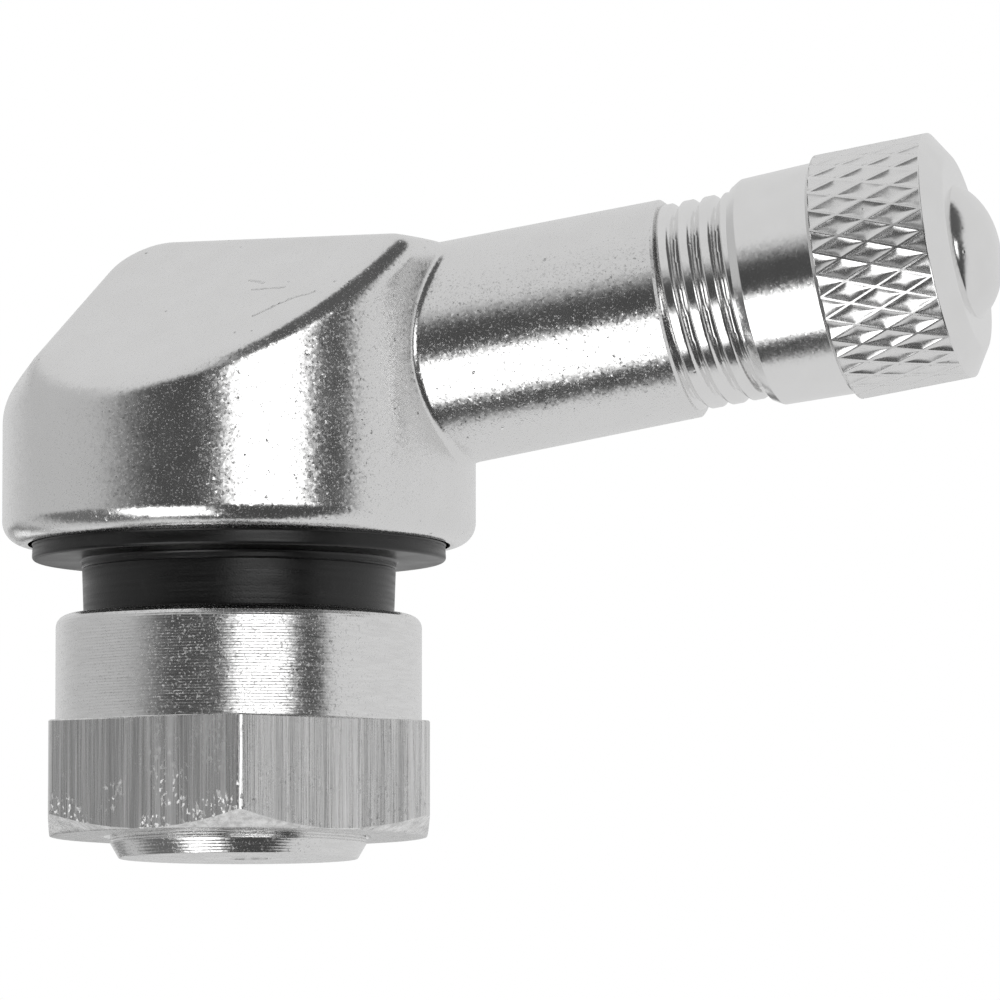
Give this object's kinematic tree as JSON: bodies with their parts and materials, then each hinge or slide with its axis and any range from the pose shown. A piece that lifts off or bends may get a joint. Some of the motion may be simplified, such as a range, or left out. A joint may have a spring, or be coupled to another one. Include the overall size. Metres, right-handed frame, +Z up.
{
  "type": "tyre valve",
  "caption": "Angled clamp-in motorcycle tyre valve: plated metal elbow with a threaded stem and core, knurled screw cap, black rubber rim seal and hexagon clamp nut.",
  "frame": {"origin": "centre of the rim hole, on the rim face that the seal's flange sits on", "axes": "+Z up the base axis and out of the rim, +X the way the stem leans out, -Z the way the nut comes off"},
  "size_m": [0.0376, 0.0176, 0.0262],
  "materials": {
    "plated_forging": "bright plated, slightly grainy from the forging",
    "turned_metal": "bright turned collar, drawn hexagon flats",
    "plated_cap": "bright polished, diamond knurl",
    "seal_rubber": "satin black",
    "core_brass": "turned",
    "core_ring": "moulded",
    "spring_steel": "drawn wire"
  },
  "bodies": {
    "elbow": {"elbow_body": "plated_forging", "rim_seal": "seal_rubber", "core_plug": "core_brass", "core_barrel": "core_brass", "core_seal": "core_ring", "core_spring": "spring_steel"},
    "nut": {"clamp_nut": "turned_metal"},
    "cap_seat": {"cap_gasket": "seal_rubber"},
    "cap": {"valve_cap": "plated_cap"},
    "pin": {"core_pin": "core_brass", "pin_cup": "core_brass", "pin_seal": "seal_rubber"}
  },
  "joints": [
    {"name": "nut_off", "type": "slide", "parent": "elbow", "child": "nut", "axis": [0, 0, -1], "range_m": [0, 0.02]},
    {"name": "cap_lift", "type": "slide", "parent": "elbow", "child": "cap_seat", "axis": [0.9863, 0, 0.165], "range_m": [0, 0.012]},
    {"name": "cap_turn", "type": "hinge", "parent": "cap_seat", "child": "cap", "pos_m": [0.02638, 0, 0.01061], "axis": [0.9863, 0, 0.165], "range_deg": [0, 5450]},
    {"name": "pin_push", "type": "slide", "parent": "elbow", "child": "pin", "axis": [-0.9863, 0, -0.165], "range_m": [0, 0.0015], "stiffness_N_per_m": 700, "springref_m": -0.0015, "deforming": ["core_spring"]}
  ],
  "couplings": [
    {"joint": "cap_turn", "follows": "cap_lift", "rad_per_m": 7915.8}
  ]
}
